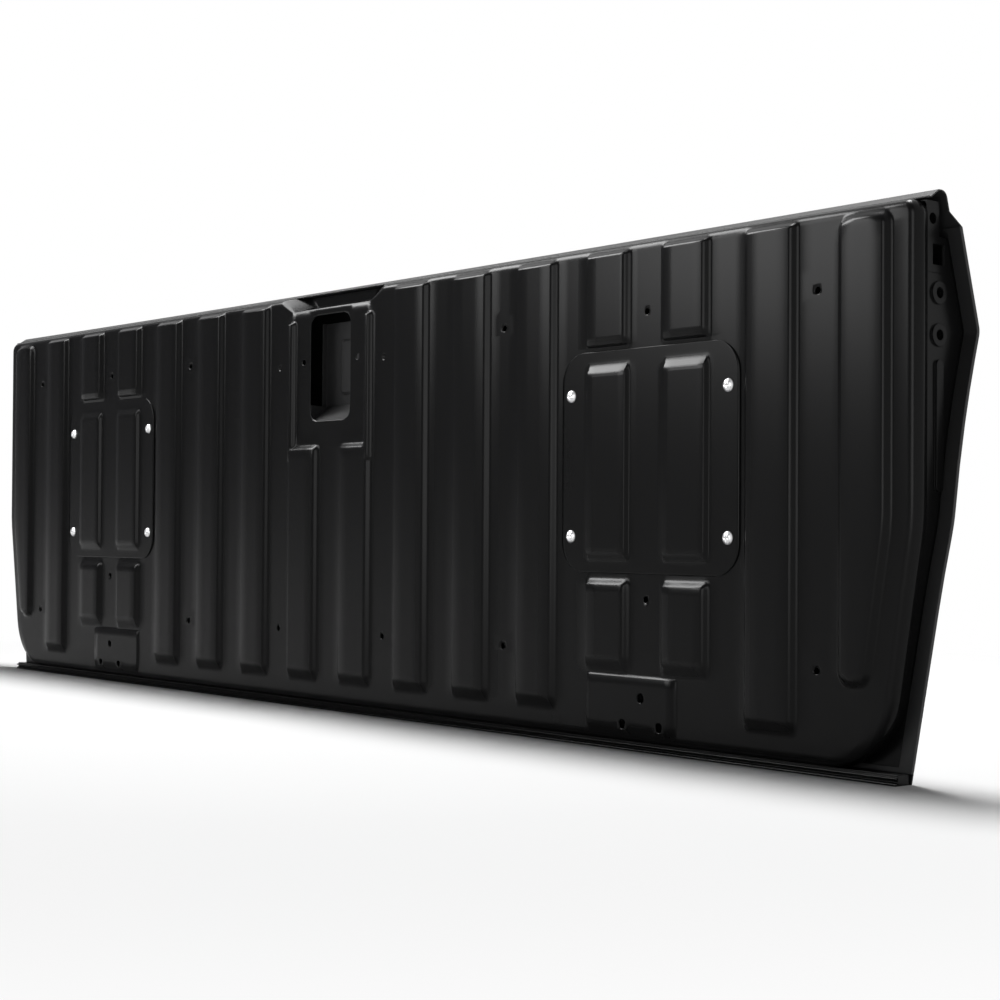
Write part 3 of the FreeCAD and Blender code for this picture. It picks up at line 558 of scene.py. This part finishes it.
def cover_x(x, z):
    """Grid columns of a cover draw in where its corners are rounded."""
    flat = COVER[1] - COVER[4] - 0.5
    a = np.abs(x)
    squeezed = flat + (a - flat) * (cover_half(z) - flat) / (COVER[1] - flat)
    return np.sign(x) * np.where(a > flat, squeezed, a)


def cover_surface(x, z):
    return -SHEET - cover_relief(x, z)


COVER_END_LINES = (78.0, 105.5)
COVER_CORNER_STEPS = 9
COVER_COARSE = 8.0

cover_marks_x = []
for side in (-1, 1):
    middle = side * COVER_PADS[0]
    for edge_x in (middle - COVER_PADS[1] / 2, middle + COVER_PADS[1] / 2 - PAD_SIDE_RUN):
        cover_marks_x += steps_between(edge_x, edge_x + PAD_SIDE_RUN, 6)
    cover_marks_x += steps_between(side * COVER_END_LINES[0], side * COVER_END_LINES[1], 10)
pad_low, pad_high = COVER[2] + COVER_PADS[2], COVER[3] - COVER_PADS[2]
cover_marks_z = steps_between(pad_low, pad_low + PAD_LOW_RUN, 7)
cover_marks_z += steps_between(pad_high - PAD_TOP_RUN, pad_high, 7)
for m in roll_marks(COVER_CORNER, COVER_CORNER_STEPS):
    cover_marks_z += [round(COVER[2]) + m, round(COVER[3]) - m]
cover_xs = grid_lines(COVER[0], COVER[1], cover_marks_x, COVER_COARSE, 0.5)
cover_zs = grid_lines(COVER[2], COVER[3], cover_marks_z, COVER_COARSE, 0.3)
for side, name in ((1, "right"), (-1, "left")):
    points, faces = sheet_mesh(cover_xs, cover_zs, cover_x, cover_surface, [])
    vertices = [(x + side * COVER_CENTRE * MM, y, z) for x, y, z in to_world(points)]
    cover = add_mesh(name + "_cover_plate", vertices, faces, coat)
    thicken(cover, SHEET)
    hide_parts(name + "_access_cover")


# Screw head: radius and height of each ring of its dome, and the cross recess
SCREW_RINGS = [(0.0, 3.3), (0.6, 3.3), (1.2, 3.25), (1.9, 3.15), (2.6, 2.95), (3.3, 2.65), (4.0, 2.2),
               (4.6, 1.65), (5.0, 1.15), (5.3, 0.8), (5.5, 0.5), (5.5, 0.0)]
SCREW_SIDES = 48
RECESS_REACH = 2.7
RECESS_HALF_WIDTH = 0.55
RECESS_DEPTH = 1.3
RECESS_TAPER = 3.4


def screw_mesh(cx, cz):
    """Domed screw head with a cross recess, on the cover's face."""
    vertices = []
    faces = []
    for r, h in SCREW_RINGS:
        for k in range(SCREW_SIDES):
            angle = 2 * math.pi * k / SCREW_SIDES
            x, z = r * math.cos(angle), r * math.sin(angle)
            arm = min(abs(x), abs(z))
            reach = max(abs(x), abs(z))
            cut = 0.0
            if reach < RECESS_REACH and arm < RECESS_HALF_WIDTH:
                cut = RECESS_DEPTH * (1 - reach / RECESS_TAPER)
            vertices.append(((cx + x) * MM, (FACE_Y - SHEET - h + cut) * MM, (cz + z) * MM))
    for i in range(len(SCREW_RINGS) - 1):
        for k in range(SCREW_SIDES):
            after = (k + 1) % SCREW_SIDES
            a, b = i * SCREW_SIDES + k, i * SCREW_SIDES + after
            faces.append((a, b, b + SCREW_SIDES, a + SCREW_SIDES))
    return vertices, faces


for side, name in ((1, "right"), (-1, "left")):
    all_vertices = []
    all_faces = []
    for x, z in SCREWS:
        vertices, faces = screw_mesh(side * COVER_CENTRE + x, z)
        all_faces += [tuple(v + len(all_vertices) for v in face) for face in faces]
        all_vertices += vertices
    screws = add_mesh(name + "_screw_heads", all_vertices, all_faces, zinc)
    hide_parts(name + "_cover_screws")

for name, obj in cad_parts.items():
    material = edged_coat
    if name == "outer_skin":
        # lighter base colour here is painted light on the shaded hem band
        material = skin_coat_painted_lighter
    if name in ("handle_bracket", "pocket_floor"):
        # lighter base colour here is painted light on parts that sit in shade
        material = handle_coat_painted_lighter
    if "screws" in name:
        material = zinc
    if "nuts" in name:
        material = nut_steel
    if not obj.material_slots:
        obj.data.materials.append(material)
    for material_slot in obj.material_slots:
        material_slot.material = material

# Floor, light and camera
floor_mesh = bpy.data.meshes.new("floor")
FLOOR = 14.0
floor_mesh.from_pydata([(-FLOOR, -FLOOR, 0), (FLOOR, -FLOOR, 0), (FLOOR, FLOOR, 0), (-FLOOR, FLOOR, 0)],
                       [], [(0, 1, 2, 3)])
floor = bpy.data.objects.new("floor", floor_mesh)
bpy.context.scene.collection.objects.link(floor)
floor_material, nodes, links = make_material("pale_floor")
shader = nodes["Principled BSDF"]
shader.inputs["Base Color"].default_value = (0.93, 0.93, 0.93, 1)
shader.inputs["Roughness"].default_value = 0.9
shader.inputs["Specular IOR Level"].default_value = 0.0
glow = nodes.new("ShaderNodeEmission")
glow.inputs["Color"].default_value = (1, 1, 1, 1)
glow.inputs["Strength"].default_value = 1.0
place = nodes.new("ShaderNodeNewGeometry")
away = nodes.new("ShaderNodeVectorMath")
away.operation = "LENGTH"
reach = nodes.new("ShaderNodeMapRange")
reach.inputs["From Min"].default_value = 0.75
reach.inputs["From Max"].default_value = 1.35
mixer = nodes.new("ShaderNodeMixShader")
links.new(place.outputs["Position"], away.inputs[0])
links.new(away.outputs["Value"], reach.inputs["Value"])
links.new(reach.outputs["Result"], mixer.inputs["Fac"])
links.new(shader.outputs["BSDF"], mixer.inputs[1])
links.new(glow.outputs["Emission"], mixer.inputs[2])
links.new(mixer.outputs["Shader"], nodes["Material Output"].inputs["Surface"])
floor_mesh.materials.append(floor_material)

world = bpy.data.worlds.new("studio")
bpy.context.scene.world = world
world.use_nodes = True
nodes = world.node_tree.nodes
links = world.node_tree.links
background = nodes["Background"]
path = nodes.new("ShaderNodeLightPath")
seen = nodes.new("ShaderNodeMath")
seen.operation = "MAXIMUM"
seen_too = nodes.new("ShaderNodeMath")
seen_too.operation = "MAXIMUM"
level = nodes.new("ShaderNodeMapRange")
level.inputs["To Min"].default_value = 0.22
level.inputs["To Max"].default_value = 1.0
links.new(path.outputs["Is Camera Ray"], seen.inputs[0])
links.new(path.outputs["Is Glossy Ray"], seen.inputs[1])
links.new(seen.outputs["Value"], seen_too.inputs[0])
links.new(path.outputs["Is Transmission Ray"], seen_too.inputs[1])
links.new(seen_too.outputs["Value"], level.inputs["Value"])
links.new(level.outputs["Result"], background.inputs["Strength"])
sky = nodes.new("ShaderNodeTexCoord")
toward = nodes.new("ShaderNodeVectorMath")
toward.operation = "DOT_PRODUCT"
toward.inputs[1].default_value = Vector((-0.45, -0.87, 0.10)).normalized()
shade = nodes.new("ShaderNodeMapRange")
shade.interpolation_type = "SMOOTHSTEP"
shade.inputs["From Min"].default_value = 0.12
shade.inputs["From Max"].default_value = 0.50
shade.inputs["To Min"].default_value = 0.0
shade.inputs["To Max"].default_value = 1.0
tone = nodes.new("ShaderNodeMix")
tone.data_type = "RGBA"
tone.inputs["A"].default_value = (1, 1, 1, 1)
tone.inputs["B"].default_value = (0.21, 0.21, 0.22, 1)
links.new(sky.outputs["Generated"], toward.inputs[0])
links.new(toward.outputs["Value"], shade.inputs["Value"])
links.new(shade.outputs["Result"], tone.inputs["Factor"])
links.new(tone.outputs["Result"], background.inputs["Color"])


def add_area(name, place, target, width, height, power, lights_floor):
    """Softbox aimed at a point. One that doesn't light the floor only shows in the coat."""
    lamp = bpy.data.lights.new(name, "AREA")
    lamp.shape = "RECTANGLE"
    lamp.size = width
    lamp.size_y = height
    lamp.energy = power
    obj = bpy.data.objects.new(name, lamp)
    obj.location = place
    aim = Vector(target) - Vector(place)
    obj.rotation_euler = aim.to_track_quat("-Z", "Y").to_euler()
    obj.visible_camera = False
    obj.visible_diffuse = lights_floor
    bpy.context.scene.collection.objects.link(obj)


add_area("key_box", (-0.22, 0.4, 3.0), (0.0, 0.0, 0.1), 0.8, 0.8, 98, True)
add_area("ramp_box", (-0.95, -0.66, 1.65), (0.5, 0.0, 0.33), 1.0, 1.0, 60, False)
add_area("right_front_box", (-0.62, -1.55, 0.97), (0.6, 0.0, 0.42), 0.85, 0.8, 18, False)
add_area("wall_box", (1.45, -1.95, 0.7), (0.45, 0.0, 0.25), 0.8, 1.3, 15, False)

AZIMUTH = math.radians(50.36)
PITCH = math.radians(0.92)
CAMERA_ROLL = math.radians(0.35)
forward = Vector((-math.sin(AZIMUTH) * math.cos(PITCH), math.cos(AZIMUTH) * math.cos(PITCH), math.sin(PITCH)))
right = Vector((math.cos(AZIMUTH), math.sin(AZIMUTH), 0))
up = right.cross(forward)
level_right = right * math.cos(CAMERA_ROLL) + up * math.sin(CAMERA_ROLL)
level_up = up * math.cos(CAMERA_ROLL) - right * math.sin(CAMERA_ROLL)
camera_data = bpy.data.cameras.new("camera")
camera_data.sensor_width = 36.0
camera_data.lens = 68.4
camera_data.clip_start = 0.05
camera_data.clip_end = 100.0
camera = bpy.data.objects.new("camera", camera_data)
camera.matrix_world = Matrix((level_right, level_up, -forward)).transposed().to_4x4()
camera.location = (1.608, -1.136, 0.185)
bpy.context.scene.collection.objects.link(camera)
bpy.context.scene.camera = camera
bpy.context.scene.view_settings.view_transform = "Standard"
